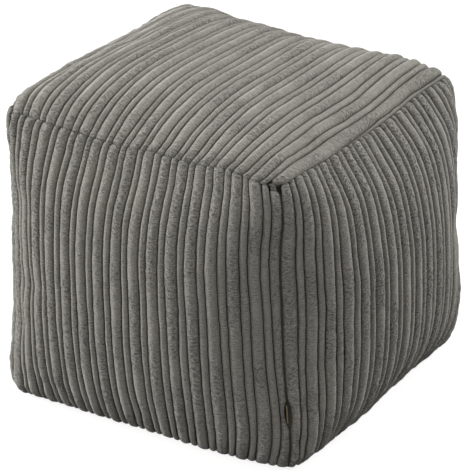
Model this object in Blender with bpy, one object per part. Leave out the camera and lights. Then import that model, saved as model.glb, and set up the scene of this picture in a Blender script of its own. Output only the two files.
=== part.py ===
"""Bean bag footstool: a stuffed cube of jumbo corduroy with a blank tab in one corner seam.

Six square panels of corduroy are sewn edge to edge and filled until every side
crowns out between its seams. The cube stands on its base panel, which the weight
of the filling presses flat. Metres, +Z up, origin on the floor under the middle.
"""

import bmesh
import bpy
import numpy as np
from mathutils import Matrix, Vector

# ---------------------------------------------------------------- sizes
SIDE = 0.380                 # one panel, seam to seam
HALF = SIDE / 2
TOP_SEAM_Z = 0.371           # height of the seams round the top panel
BASE_SEAM_Z = 0.010          # height of the seams round the base panel
SEAM_FLOOR = 0.002           # width of the floor of a sewn seam

PAIR = 0.0246                # one wide and one narrow wale of the corduroy
WIDE_SHARE = 0.615           # the wide wale's part of that pair
WIDE_RISE = 0.0046           # how far a wide wale stands over its grooves
NARROW_RISE = 0.0034
SHOULDER = 0.24              # where a wale's flat crown starts, as a part of its width
WALE_END = 0.008             # length over which a wale runs out at a seam

# Places of the rows of points along the wales, -1 and 1 at the seams, closest where
# the cloth turns into a seam.
ROWS = (-1.0, -0.955, -0.83, -0.60, -0.30, 0.0, 0.30, 0.60, 0.83, 0.955, 1.0)
BASE_ROWS = (-1.0, -0.90, -0.35, 0.35, 0.90, 1.0)
BASE_GROOVE_Z = 0.0031       # grooves of the base panel, over the floor

TAB_HEIGHT = 0.020           # the folded tab, along the seam
TAB_DEPTH = 0.0100           # from its sewn end to its fold
TAB_PROUD = 0.0052           # how far the fold stands out of the seam line
TAPE = 0.0008                # thickness of the tape the tab is folded from
TAPE_GAP = 0.0004            # between the tab's two layers
TAB_PLACE = -0.64            # middle of the tab on the corner seam, -1 base to 1 top
GAPE = (0.0180, 0.0028, 0.0092)   # half height, half width and depth of the open seam

FOLD_STEPS = 6               # flats round the tab's fold
CORDUROY_COLOUR = (0.16, 0.155, 0.145)   # linear
TAPE_COLOUR = (0.42, 0.33, 0.20)

# Each corner: which side it is on (x, y), how far the top corner sits from the
# even cube (x, y, z), how far the base corner does, and how far the two corners
# are tucked in where three seams meet. Filling pushes the cloth about, so no two match.
CORNERS = {
    "front_right": dict(side=(1, -1), top=(-0.002, -0.001, 0.001), base=(0.008, 0.008, -0.001),
                        tuck=dict(top=0.008, base=0.009)),
    "front_left": dict(side=(-1, -1), top=(0.003, 0.002, 0.000), base=(0.005, -0.005, 0.000),
                       tuck=dict(top=0.006, base=0.008)),
    "back_right": dict(side=(1, 1), top=(-0.001, -0.002, 0.000), base=(-0.001, 0.008, 0.000),
                       tuck=dict(top=0.007, base=0.010)),
    "back_left": dict(side=(-1, 1), top=(0.003, -0.001, -0.007), base=(0.001, -0.001, 0.000),
                      tuck=dict(top=0.007, base=0.009)),
}
TUCK_REACH = 14              # the higher, the closer to its corner a tuck stays

# Each seam: its two corners, the direction it bows in and how far, and its rise.
SEAMS = {
    "top_front": dict(ends=("front_left", "front_right"), out=(0, -1), bow=-0.002, rise=-0.003),
    "top_right": dict(ends=("front_right", "back_right"), out=(1, 0), bow=0.003, rise=-0.002),
    "top_back": dict(ends=("back_right", "back_left"), out=(0, 1), bow=0.001, rise=-0.010),
    "top_left": dict(ends=("back_left", "front_left"), out=(-1, 0), bow=0.003, rise=0.004),
    "base_front": dict(ends=("front_left", "front_right"), out=(0, -1), bow=0.001, rise=-0.001),
    "base_right": dict(ends=("front_right", "back_right"), out=(1, 0), bow=0.001, rise=0.001),
    "base_back": dict(ends=("back_right", "back_left"), out=(0, 1), bow=0.001, rise=0.001),
    "base_left": dict(ends=("back_left", "front_left"), out=(-1, 0), bow=0.001, rise=0.000),
    "front_right": dict(out=(1, -1), bow=-0.015),
    "front_left": dict(out=(-1, -1), bow=-0.004),
    "back_right": dict(out=(1, 1), bow=-0.002),
    "back_left": dict(out=(-1, 1), bow=-0.005),
}

# Each upright panel: its corners seen from outside, left then right, the direction
# it faces, how far it crowns out, and how full that crown is across, above and below.
SIDES = {
    "front": dict(left="front_left", right="front_right", out=(0, -1),
                  crown=0.047, across=2.3, above=2.7, below=3.0),
    "right": dict(left="front_right", right="back_right", out=(1, 0),
                  crown=0.051, across=2.3, above=2.5, below=3.2),
    "back": dict(left="back_right", right="back_left", out=(0, 1),
                 crown=0.046, across=2.4, above=2.7, below=3.0),
    "left": dict(left="back_left", right="front_left", out=(-1, 0),
                 crown=0.048, across=2.4, above=2.8, below=3.0),
}
TOP_CROWN = 0.0345
TOP_FULLNESS = dict(left=3.6, right=2.8, along=2.6)
BASE_FULLNESS = 24.0

# How each panel is cut from the cloth, seen from outside: the seam it is measured from,
# where its first groove lies from there in pairs of wales, and whether the first whole
# wale after it is a wide one.
CUTS = {
    "front": dict(seam="right", first=0.60, wide_next=False),
    "right": dict(seam="left", first=0.60, wide_next=False),
    "back": dict(seam="right", first=0.60, wide_next=False),
    "left": dict(seam="right", first=0.60, wide_next=False),
    "top": dict(seam="right", first=0.14, wide_next=True),
    "base": dict(seam="right", first=0.14, wide_next=True),
}


# ---------------------------------------------------------------- the form
def corner_point(name, level):
    """A corner of the cube before its tuck: level 'top' or 'base'."""
    row = CORNERS[name]
    x, y, z = row[level]
    height = TOP_SEAM_Z if level == "top" else BASE_SEAM_Z
    return np.array((row["side"][0] * HALF + x, row["side"][1] * HALF + y, height + z))


def corner_tuck(name, level):
    """How a corner is drawn in towards the middle of the cube, where three seams meet."""
    row = CORNERS[name]
    depth = row["tuck"][level]
    drop = -depth / 2 if level == "top" else 0.0
    return np.array((-row["side"][0] * depth, -row["side"][1] * depth, drop))


def bowed_line(start, end, tucks, place, row):
    """Points on a seam; place runs from -1 at start to 1 at end."""
    share = ((1 + place) / 2)[..., None]
    swell = (1 - place ** 2)[..., None]
    lift = np.array((row["out"][0] * row["bow"], row["out"][1] * row["bow"], row.get("rise", 0.0)))
    tucked = (1 - share) ** TUCK_REACH * tucks[0] + share ** TUCK_REACH * tucks[1]
    return start * (1 - share) + end * share + swell * lift + tucked


def level_seam(name, place, level):
    """Points on a seam round the top or the base panel."""
    row = SEAMS[name]
    start, end = (corner_point(end, level) for end in row["ends"])
    tucks = [corner_tuck(end, level) for end in row["ends"]]
    return bowed_line(start, end, tucks, place, row)


def upright_seam(name, place):
    """Points on a seam between two upright panels, from the base up."""
    start, end = corner_point(name, "base"), corner_point(name, "top")
    tucks = [corner_tuck(name, "base"), corner_tuck(name, "top")]
    return bowed_line(start, end, tucks, place, SEAMS[name])


def between_seams(across, along, low, high, left, right):
    """A patch held by its four seams, which each take places and give points."""
    edge = np.ones_like(across)
    a = ((1 + across) / 2)[..., None]
    b = ((1 + along) / 2)[..., None]
    rails = low(across) * (1 - b) + high(across) * b
    sides = left(along) * (1 - a) + right(along) * a
    low_chord = low(-edge) * (1 - a) + low(edge) * a
    high_chord = high(-edge) * (1 - a) + high(edge) * a
    return rails + sides - low_chord * (1 - b) - high_chord * b


def crown(place, fullness):
    """1 in the middle of a panel and 0 at its seams."""
    return 1 - np.abs(place) ** fullness


def upright_panel(name, across, along):
    """A side panel, its wales running up."""
    row = SIDES[name]
    points = between_seams(
        across, along,
        lambda t: level_seam("base_" + name, t, "base"),
        lambda t: level_seam("top_" + name, t, "top"),
        lambda t: upright_seam(row["left"], t),
        lambda t: upright_seam(row["right"], t),
    )
    fullness = np.where(along > 0, row["above"], row["below"])
    swell = row["crown"] * crown(across, row["across"]) * crown(along, fullness)
    points[..., 0] += row["out"][0] * swell
    points[..., 1] += row["out"][1] * swell
    return points


def lying_panel(level, across, along):
    """The top or the base panel, its wales running from front to back."""
    points = between_seams(
        across, along,
        lambda t: level_seam(level + "_front", t, level),
        lambda t: level_seam(level + "_back", -t, level),
        lambda t: level_seam(level + "_left", -t, level),
        lambda t: level_seam(level + "_right", t, level),
    )
    if level == "top":
        fullness = np.where(across > 0, TOP_FULLNESS["right"], TOP_FULLNESS["left"])
        points[..., 2] += TOP_CROWN * crown(across, fullness) * crown(along, TOP_FULLNESS["along"])
    else:
        pressed = crown(across, BASE_FULLNESS) * crown(along, BASE_FULLNESS)
        points[..., 2] += (BASE_GROOVE_Z - points[..., 2]) * pressed
    return points


# ---------------------------------------------------------------- the corduroy
def wale_columns(name):
    """Columns of points across a panel: their places from -1 to 1 and their rise."""
    pairs = SIDE / PAIR
    edges = [0.0, CUTS[name]["first"]]
    wide = CUTS[name]["wide_next"]
    wides = [not wide]
    sliver = 0.25 * (1 - WIDE_SHARE)
    while edges[-1] < pairs:
        edges.append(edges[-1] + (WIDE_SHARE if wide else 1 - WIDE_SHARE))
        wides.append(wide)
        wide = not wide
    if pairs - edges[-2] < sliver:
        edges.pop()
        wides.pop()
    edges[-1] = pairs
    places = [0.0]
    rises = [0.0]
    for start, end, is_wide in zip(edges, edges[1:], wides):
        rise = WIDE_RISE if is_wide else NARROW_RISE
        places += [start + SHOULDER * (end - start), end - SHOULDER * (end - start), end]
        rises += [rise, rise, 0.0]
    from_seam, rises = 2 * np.array(places) / pairs - 1, np.array(rises)
    if CUTS[name]["seam"] == "left":
        return from_seam, rises
    return -from_seam[::-1], rises[::-1]


def even_across(surface, columns, rows):
    """Points on a surface at columns spaced by the cloth's own width, row by row."""
    fine = np.linspace(-1, 1, 81)
    points = []
    for row in rows:
        line = surface(fine, np.full_like(fine, row))
        length = np.concatenate(([0.0], np.cumsum(np.linalg.norm(np.diff(line, axis=0), axis=1))))
        place = np.interp(columns, 2 * length / length[-1] - 1, fine)
        points.append(surface(place, np.full_like(place, row)))
    return np.array(points)


def outward(points):
    """Unit normals of a grid of points whose columns run right and rows run up."""
    across = np.gradient(points, axis=1)
    along = np.gradient(points, axis=0)
    normal = np.cross(across, along)
    return normal / np.linalg.norm(normal, axis=2, keepdims=True)


def corduroy_panel(name):
    """The points of one panel with its wales raised, as rows of columns."""
    kind = name if name in ("top", "base") else "upright"
    columns, rises = wale_columns(name)
    rows = np.array(BASE_ROWS if kind == "base" else ROWS)
    inset = 1 - SEAM_FLOOR / SIDE
    if kind == "upright":
        def surface(a, b):
            return upright_panel(name, a * inset, b * inset)
    elif kind == "top":
        def surface(a, b):
            return lying_panel("top", a * inset, b * inset)
    else:
        def surface(a, b):
            return lying_panel("base", -a * inset, b * inset)
    points = even_across(surface, columns, rows)
    run_out = np.clip((1 - np.abs(rows)) * HALF / WALE_END, 0, 1)
    points += outward(points) * rises[None, :, None] * run_out[:, None, None]
    if kind == "base":
        points[..., 2] = np.maximum(points[..., 2], 0.0)
    return points


# ---------------------------------------------------------------- meshes
def add_panel(bm, points):
    """A grid of faces on the given points; returns its vertices as rows of columns."""
    rows, columns = points.shape[:2]
    made = bmesh.ops.create_grid(bm, x_segments=columns - 1, y_segments=rows - 1, size=0.5)
    grid = [[None] * columns for _ in range(rows)]
    for vert in made["verts"]:
        column = round((vert.co.x + 0.5) * (columns - 1))
        row = round((vert.co.y + 0.5) * (rows - 1))
        grid[row][column] = vert
        vert.co = Vector(points[row, column])
    return grid


def borders(grid):
    """The four border lines of a panel's grid."""
    return {
        "low": grid[0],
        "high": grid[-1],
        "left": [row[0] for row in grid],
        "right": [row[-1] for row in grid],
    }


def sew(bm, first, second):
    """Join two border lines that run side by side, whatever their counts."""
    shares = []
    for line in (first, second):
        reach = (line[-1].co - line[0].co).length
        shares.append([(vert.co - line[0].co).length / reach for vert in line])
    i, j = 0, 0
    while i < len(first) - 1 or j < len(second) - 1:
        on_first = j == len(second) - 1 or (
            i < len(first) - 1 and shares[0][i + 1] <= shares[1][j + 1]
        )
        if on_first:
            bm.faces.new((first[i], first[i + 1], second[j]))
            i += 1
        else:
            bm.faces.new((first[i], second[j + 1], second[j]))
            j += 1


def new_object(name, bm, material):
    mesh = bpy.data.meshes.new(name)
    bm.to_mesh(mesh)
    bm.free()
    thing = bpy.data.objects.new(name, mesh)
    bpy.context.scene.collection.objects.link(thing)
    if material:
        mesh.materials.append(material)
    return thing


def plain_material(name, colour, roughness):
    material = bpy.data.materials.new(name)
    material.use_nodes = True
    shader = material.node_tree.nodes["Principled BSDF"]
    shader.inputs["Base Color"].default_value = (*colour, 1.0)
    shader.inputs["Roughness"].default_value = roughness
    shader.inputs["Metallic"].default_value = 0.0
    return material


def filled_cover():
    """The stuffed cube: six corduroy panels sewn along their seams, one closed solid."""
    bm = bmesh.new()
    edge = {name: borders(add_panel(bm, corduroy_panel(name))) for name in (*SIDES, "top", "base")}
    ring = list(SIDES)
    for name, following in zip(ring, ring[1:] + ring[:1]):
        sew(bm, edge[name]["right"], edge[following]["left"])
    # The top panel's low border is at the front, its right border at the right, and
    # so on round; the base panel is seen from below, so its left and right swap.
    round_top = {"front": edge["top"]["low"], "right": edge["top"]["right"],
                 "back": edge["top"]["high"][::-1], "left": edge["top"]["left"][::-1]}
    round_base = {"front": edge["base"]["low"][::-1], "right": edge["base"]["left"],
                  "back": edge["base"]["high"], "left": edge["base"]["right"][::-1]}
    for name in ring:
        sew(bm, edge[name]["high"], round_top[name])
        sew(bm, edge[name]["low"], round_base[name])
    open_edges = [e for e in bm.edges if e.is_boundary]
    bmesh.ops.holes_fill(bm, edges=open_edges, sides=3)
    bmesh.ops.recalc_face_normals(bm, faces=bm.faces)
    cloth = plain_material("grey corduroy", CORDUROY_COLOUR, 0.95)
    cover = new_object("filled_cover", bm, cloth)
    cover.data.shade_smooth()
    cover.data.set_sharp_from_angle(angle=np.radians(50))
    return cover


def tab_frame():
    """Place and turn of the tab: X out of the seam, Y across it, Z up it."""
    place = np.array((TAB_PLACE - 0.02, TAB_PLACE, TAB_PLACE + 0.02))
    low, middle, high = upright_seam("front_right", place)
    up = Vector(high - low).normalized()
    out = Vector((1, -1, 0))
    out = (out - up * out.dot(up)).normalized()
    side = up.cross(out)
    turn = Matrix((out, side, up)).transposed().to_4x4()
    return Matrix.Translation(Vector(middle)) @ turn


def open_seam(cover):
    """Cut the lens-shaped place where the corner seam gapes round the tab."""
    bm = bmesh.new()
    bmesh.ops.create_uvsphere(bm, u_segments=16, v_segments=10, radius=1.0)
    lens = new_object("seam_gape_cutter", bm, None)
    height, width, depth = GAPE
    lens.data.transform(Matrix.Diagonal((depth, width, height, 1.0)))
    lens.matrix_world = tab_frame()
    lens.hide_render = True
    lens.display_type = "WIRE"
    cut = cover.modifiers.new("open seam", "BOOLEAN")
    cut.operation = "DIFFERENCE"
    cut.solver = "EXACT"
    cut.object = lens
    return lens


def seam_label():
    """A blank tab of tape, folded in two, its cut ends sewn into the corner seam."""
    reach = TAPE + TAPE_GAP / 2
    middle = (TAPE + TAPE_GAP) / 2
    straight = TAB_DEPTH - reach
    path = [Vector((0, -middle, 0)), Vector((straight, -middle, 0))]
    for step in range(1, FOLD_STEPS):
        angle = np.pi * (step / FOLD_STEPS - 0.5)
        path.append(Vector((straight + middle * np.cos(angle), middle * np.sin(angle), 0)))
    path += [Vector((straight, middle, 0)), Vector((0, middle, 0))]
    bm = bmesh.new()
    verts = [bm.verts.new(point - Vector((TAB_DEPTH - TAB_PROUD, 0, TAB_HEIGHT / 2))) for point in path]
    edges = [bm.edges.new(pair) for pair in zip(verts, verts[1:])]
    risen = bmesh.ops.extrude_edge_only(bm, edges=edges)["geom"]
    tops = [item for item in risen if isinstance(item, bmesh.types.BMVert)]
    bmesh.ops.translate(bm, verts=tops, vec=(0, 0, TAB_HEIGHT))
    tape = plain_material("beige tape", TAPE_COLOUR, 0.75)
    label = new_object("seam_label", bm, tape)
    label.matrix_world = tab_frame()
    thick = label.modifiers.new("tape", "SOLIDIFY")
    thick.thickness = TAPE
    thick.offset = 0.0
    return label


def stand_over_origin(cover, others):
    """Carry everything on an empty that brings the cover's middle over the origin."""
    places = np.array([vert.co for vert in cover.data.vertices])
    middle = (places.min(axis=0) + places.max(axis=0)) / 2
    holder = bpy.data.objects.new("standing place", None)
    holder.location = (-middle[0], -middle[1], 0.0)
    bpy.context.scene.collection.objects.link(holder)
    for thing in (cover, *others):
        thing.parent = holder


def main():
    for thing in list(bpy.data.objects):
        bpy.data.objects.remove(thing, do_unlink=True)
    cover = filled_cover()
    lens = open_seam(cover)
    label = seam_label()
    stand_over_origin(cover, (lens, label))


main()
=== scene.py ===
"""Looks of the bean bag footstool: a stuffed cube of jumbo corduroy with a blank tab.

The filled cover is one padded piece, swollen by a cloth simulation. The corduroy's
wales are laid on it panel by panel, wide and narrow in turn, and end at the seams.
Metres, +Z up, origin on the floor under the middle.
"""

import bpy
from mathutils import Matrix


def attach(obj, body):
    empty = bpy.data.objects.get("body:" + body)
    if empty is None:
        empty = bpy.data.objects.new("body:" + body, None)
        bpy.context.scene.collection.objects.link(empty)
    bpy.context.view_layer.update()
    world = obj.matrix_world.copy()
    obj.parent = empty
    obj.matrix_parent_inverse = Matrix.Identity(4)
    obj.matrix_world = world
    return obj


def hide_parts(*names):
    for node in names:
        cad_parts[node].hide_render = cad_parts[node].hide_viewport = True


bl_info = {
    "name": "Corduroy footstool",
    "version": (1, 0, 0),
    "blender": (4, 5, 0),
    "location": "3D View > Sidebar > Footstool",
    "description": "A stuffed cube of jumbo corduroy with a blank tab in one corner seam",
    "category": "Object",
}

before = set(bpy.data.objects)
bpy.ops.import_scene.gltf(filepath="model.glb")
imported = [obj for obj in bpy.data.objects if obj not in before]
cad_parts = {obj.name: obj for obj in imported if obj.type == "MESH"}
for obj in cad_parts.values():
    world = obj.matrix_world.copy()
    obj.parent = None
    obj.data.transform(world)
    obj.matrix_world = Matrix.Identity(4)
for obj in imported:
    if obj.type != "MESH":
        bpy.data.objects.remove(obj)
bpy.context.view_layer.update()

import math

import bpy
import numpy as np
from mathutils import Matrix, Vector

BODY = "root"
COVER_NODE = "filled_cover"
LABEL_NODE = "seam_label"

# ------------------------------------------------------------------ the filled form
HALF = 0.190                 # half a panel, seam to seam
TOP_SEAM_Z = 0.371           # height of the seams round the top panel
BASE_SEAM_Z = 0.007          # height of the seams round the base panel
CENTRE = (0.0023, 0.0044)    # middle of the outline, from the middle of the even cube
TUCK_REACH = 18              # the higher, the closer to its corner a tuck stays

# Each corner: which side it is on, how far the top and the base corner sit from the
# even cube, and how far the two are tucked in where three seams meet.
CORNERS = {
    "front_right": dict(side=(1, -1), top=(-0.002, -0.001, 0.001), base=(0.008, 0.008, -0.001),
                        tuck=dict(top=0.012, base=0.009)),
    "front_left": dict(side=(-1, -1), top=(0.003, 0.002, 0.000), base=(0.005, -0.005, 0.000),
                       tuck=dict(top=0.006, base=0.008)),
    "back_right": dict(side=(1, 1), top=(-0.001, -0.002, -0.009), base=(-0.001, 0.008, 0.000),
                       tuck=dict(top=0.007, base=0.010)),
    "back_left": dict(side=(-1, 1), top=(0.003, -0.001, -0.007), base=(0.001, -0.001, 0.000),
                      tuck=dict(top=0.007, base=0.009)),
}

# Each seam: its two corners where it is level, the direction it bows in and how far, and
# how far its middle rises.
SEAMS = {
    "top_front": dict(ends=("front_left", "front_right"), out=(0, -1), bow=-0.002, rise=-0.003),
    "top_right": dict(ends=("front_right", "back_right"), out=(1, 0), bow=0.003, rise=-0.002),
    "top_back": dict(ends=("back_right", "back_left"), out=(0, 1), bow=0.001, rise=-0.016),
    "top_left": dict(ends=("back_left", "front_left"), out=(-1, 0), bow=0.003, rise=0.004),
    "base_front": dict(ends=("front_left", "front_right"), out=(0, -1), bow=0.001, rise=-0.001),
    "base_right": dict(ends=("front_right", "back_right"), out=(1, 0), bow=0.001, rise=0.001),
    "base_back": dict(ends=("back_right", "back_left"), out=(0, 1), bow=0.001, rise=0.001),
    "base_left": dict(ends=("back_left", "front_left"), out=(-1, 0), bow=0.001, rise=0.000),
    "front_right": dict(out=(1, -1), bow=-0.015),
    "front_left": dict(out=(-1, -1), bow=-0.004),
    "back_right": dict(out=(1, 1), bow=-0.002),
    "back_left": dict(out=(-1, 1), bow=-0.005),
}

# Each upright panel: its corners seen from outside, the direction it faces, how far
# it crowns out, and how full that crown is across, above and below its middle.
SIDES = {
    "front": dict(left="front_left", right="front_right", out=(0, -1),
                  crown=0.047, across=2.3, above=2.7, below=3.0),
    "right": dict(left="front_right", right="back_right", out=(1, 0),
                  crown=0.051, across=2.3, above=2.5, below=3.2),
    "back": dict(left="back_right", right="back_left", out=(0, 1),
                 crown=0.046, across=2.4, above=2.7, below=3.0),
    "left": dict(left="back_left", right="front_left", out=(-1, 0),
                 crown=0.048, across=2.4, above=2.8, below=3.0),
}
TOP_CROWN = 0.0345
TOP_FULLNESS = dict(left=3.6, right=3.2, front=2.6, back=5.0)
BASE_FULLNESS = 24.0
BASE_GROOVE_Z = 0.0044       # grooves of the base panel, over the floor

# How each panel lies on a cube: the axis it faces, then its right-hand and its upward
# axis as they are seen from outside.
FACING = {
    "front": ((0, -1, 0), (1, 0, 0), (0, 0, 1)),
    "right": ((1, 0, 0), (0, 1, 0), (0, 0, 1)),
    "back": ((0, 1, 0), (-1, 0, 0), (0, 0, 1)),
    "left": ((-1, 0, 0), (0, -1, 0), (0, 0, 1)),
    "top": ((0, 0, 1), (1, 0, 0), (0, 1, 0)),
    "base": ((0, 0, -1), (-1, 0, 0), (0, 1, 0)),
}

# ------------------------------------------------------------------ the corduroy
# How each panel is cut from the cloth: the seam that it is measured from, where its
# first groove lies from there in pairs of wales, and whether a wide wale comes next.
CUTS = {
    "front": dict(seam="right", first=0.60, wide_next=False),
    "right": dict(seam="left", first=0.60, wide_next=False),
    "back": dict(seam="right", first=0.60, wide_next=False),
    "left": dict(seam="right", first=0.60, wide_next=False),
    "top": dict(seam="right", first=0.14, wide_next=True),
    "base": dict(seam="right", first=0.14, wide_next=True),
}
SLIVER = 0.10                # in pairs: a narrower strip at a seam isn't a wale of its own
# The top's cloth lies askew of its right-hand seam: how much nearer its grooves are to
# the seam at the front than at the back, and on the whole, in pairs of wales.
SKEW = dict(turn=0.34, shift=-0.11)
# The strip beside that seam: where it starts and where it is full width (-1 front to 1
# back), and that width in pairs.
STRIP = dict(start=-0.30, full=0.10, width=0.20)
OVERRUN = {"top": 1.5}       # in pairs: grooves kept past the far seam, for the drift to bring in
# How a panel's grooves drift to the left from their even places, in pairs of wales: rows
# are powers of the place across, columns powers of the place along, both from -1 to 1.
DRIFT = {
    "front": (
        (-0.127, 0.151, 0.074, -0.443, 0.238),
        (0.177, -0.077, -0.044, 0.166, 0),
        (-0.134, 0.249, -0.157, 0, 0),
        (-0.104, -0.14, 0, 0, 0),
        (0.037, 0, 0, 0, 0),
    ),
    "right": (
        (-0.126, -0.023, 0.565, 0.031, -0.202),
        (-0.353, 0.246, 0.103, -0.108, 0),
        (-0.164, 0.075, 0.015, 0, 0),
        (0.183, -0.036, 0, 0, 0),
        (-0.1, 0, 0, 0, 0),
    ),
    "top": (
        (-0.003, -0.233, -0.12, 0.087, -0.053),
        (0.257, 0.294, 0.185, 0.029, 0),
        (-0.383, -0.173, 0.082, 0, 0),
        (0.089, 0.013, 0, 0, 0),
        (0.237, 0, 0, 0, 0),
    ),
}


def corner_point(name, level):
    """A corner of the cube before its tuck: level 'top' or 'base'."""
    row = CORNERS[name]
    x, y, z = row[level]
    height = TOP_SEAM_Z if level == "top" else BASE_SEAM_Z
    return np.array((row["side"][0] * HALF + x, row["side"][1] * HALF + y, height + z))


def corner_tuck(name, level):
    """How a corner is drawn in towards the middle of the cube, where three seams meet."""
    row = CORNERS[name]
    depth = row["tuck"][level]
    drop = -depth / 2 if level == "top" else 0.0
    return np.array((-row["side"][0] * depth, -row["side"][1] * depth, drop))


def bowed_line(start, end, tucks, place, row):
    """Points on a seam; place runs from -1 at start to 1 at end."""
    share = ((1 + place) / 2)[..., None]
    swell = (1 - place ** 2)[..., None]
    lift = np.array((row["out"][0] * row["bow"], row["out"][1] * row["bow"], row.get("rise", 0.0)))
    tucked = (1 - share) ** TUCK_REACH * tucks[0] + share ** TUCK_REACH * tucks[1]
    return start * (1 - share) + end * share + swell * lift + tucked


def level_seam(name, place, level):
    """Points on a seam round the top or the base panel."""
    row = SEAMS[name]
    start, end = (corner_point(end, level) for end in row["ends"])
    tucks = [corner_tuck(end, level) for end in row["ends"]]
    return bowed_line(start, end, tucks, place, row)


def upright_seam(name, place):
    """Points on a seam between two upright panels, from the base up."""
    start, end = corner_point(name, "base"), corner_point(name, "top")
    tucks = [corner_tuck(name, "base"), corner_tuck(name, "top")]
    return bowed_line(start, end, tucks, place, SEAMS[name])


def between_seams(across, along, low, high, left, right):
    """A patch held by its four seams, which each take places and give points."""
    edge = np.ones_like(across)
    a = ((1 + across) / 2)[..., None]
    b = ((1 + along) / 2)[..., None]
    rails = low(across) * (1 - b) + high(across) * b
    sides = left(along) * (1 - a) + right(along) * a
    low_chord = low(-edge) * (1 - a) + low(edge) * a
    high_chord = high(-edge) * (1 - a) + high(edge) * a
    return rails + sides - low_chord * (1 - b) - high_chord * b


def crown(place, fullness):
    """1 in the middle of a panel and 0 at its seams."""
    return 1 - np.abs(place) ** fullness


def upright_panel(name, across, along, share):
    """A side panel, its wales running up; share is how much of its crown it has."""
    row = SIDES[name]
    points = between_seams(
        across, along,
        lambda t: level_seam("base_" + name, t, "base"),
        lambda t: level_seam("top_" + name, t, "top"),
        lambda t: upright_seam(row["left"], t),
        lambda t: upright_seam(row["right"], t),
    )
    fullness = np.where(along > 0, row["above"], row["below"])
    swell = share * row["crown"] * crown(across, row["across"]) * crown(along, fullness)
    points[..., 0] += row["out"][0] * swell
    points[..., 1] += row["out"][1] * swell
    return points


def lying_panel(level, across, along, share):
    """The top or the base panel, across to the right from above, its wales front to back."""
    points = between_seams(
        across, along,
        lambda t: level_seam(level + "_front", t, level),
        lambda t: level_seam(level + "_back", -t, level),
        lambda t: level_seam(level + "_left", -t, level),
        lambda t: level_seam(level + "_right", t, level),
    )
    if level == "top":
        fullness = np.where(across > 0, TOP_FULLNESS["right"], TOP_FULLNESS["left"])
        swell = share * TOP_CROWN * crown(across, fullness)
        fullness = np.where(along > 0, TOP_FULLNESS["back"], TOP_FULLNESS["front"])
        points[..., 2] += swell * crown(along, fullness)
    else:
        pressed = crown(across, BASE_FULLNESS) * crown(along, BASE_FULLNESS)
        points[..., 2] += (BASE_GROOVE_Z - points[..., 2]) * pressed
    return points


def panel_form(name, across, along, share=1.0):
    """Points of a panel's cloth, across and along as they are seen from outside."""
    if name == "base":
        points = lying_panel("base", -across, along, share)
    elif name == "top":
        points = lying_panel("top", across, along, share)
    else:
        points = upright_panel(name, across, along, share)
    points[..., :2] -= CENTRE
    return points


# ------------------------------------------------------------------ small helpers
def linear(hex_colour):
    """An sRGB hex colour as linear RGBA."""
    channels = [int(hex_colour[i:i + 2], 16) / 255 for i in (1, 3, 5)]
    return (*(c / 12.92 if c <= 0.04045 else ((c + 0.055) / 1.055) ** 2.4 for c in channels), 1.0)


def lattice_noise(x, y, seed):
    """Smooth noise from -1 to 1 whose lumps are one unit across; it repeats after 64."""
    size = 64
    table = np.random.default_rng(seed).uniform(-1, 1, (size, size))
    i, j = np.floor(x).astype(int), np.floor(y).astype(int)
    u, v = x - i, y - j
    u, v = u * u * (3 - 2 * u), v * v * (3 - 2 * v)
    i, j, after_i, after_j = i % size, j % size, (i + 1) % size, (j + 1) % size
    low = table[i, j] * (1 - u) + table[after_i, j] * u
    high = table[i, after_j] * (1 - u) + table[after_i, after_j] * u
    return low * (1 - v) + high * v


def smooth_between(values, places):
    """Catmull-Rom reading of rows of values at fractional row numbers."""
    count = len(values)
    first = np.clip(np.floor(places).astype(int), 0, count - 2)
    t = (places - first).reshape((-1,) + (1,) * (values.ndim - 1))
    before = values[np.maximum(first - 1, 0)]
    start, end = values[first], values[first + 1]
    after = values[np.minimum(first + 2, count - 1)]
    return start + 0.5 * t * (
        end - before + t * (2 * before - 5 * start + 4 * end - after
                            + t * (3 * (start - end) + after - before)))


def deselect():
    """Leave no object selected."""
    for thing in bpy.context.selected_objects:
        thing.select_set(False)


def only(thing):
    """Make one object the selected and the active one."""
    deselect()
    thing.select_set(True)
    bpy.context.view_layer.objects.active = thing


def places_of(mesh):
    """A mesh's points as rows of x, y and z."""
    points = np.empty(len(mesh.vertices) * 3, np.float32)
    mesh.vertices.foreach_get("co", points)
    return points.reshape(-1, 3).astype(float)


def set_places(mesh, points):
    """Move a mesh's points."""
    mesh.vertices.foreach_set("co", np.asarray(points, np.float32).ravel())
    mesh.update()


def settle(piece, material, node):
    """Give a piece its finish, and its place in the frame."""
    piece.data.materials.clear()
    piece.data.materials.append(material)
    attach(piece, BODY)
    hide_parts(node)


# ------------------------------------------------------------------ materials
def set_inputs(tree, node, inputs):
    """Set a node's inputs: each to a number, a colour, a socket or a node's first output."""
    for key, value in inputs.items():
        if isinstance(value, bpy.types.Node):
            value = value.outputs[0]
        if isinstance(value, bpy.types.NodeSocket):
            tree.links.new(value, node.inputs[key])
        else:
            node.inputs[key].default_value = value


def add_node(tree, kind, inputs=None, **settings):
    """Add a node with its settings and its inputs."""
    node = tree.nodes.new(kind)
    for key, value in settings.items():
        setattr(node, key, value)
    set_inputs(tree, node, inputs or {})
    return node


def new_material(name):
    """A material with an empty Principled shader: its tree and that shader."""
    material = bpy.data.materials.new(name)
    material.use_nodes = True
    tree = material.node_tree
    return material, tree, tree.nodes["Principled BSDF"]


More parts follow.
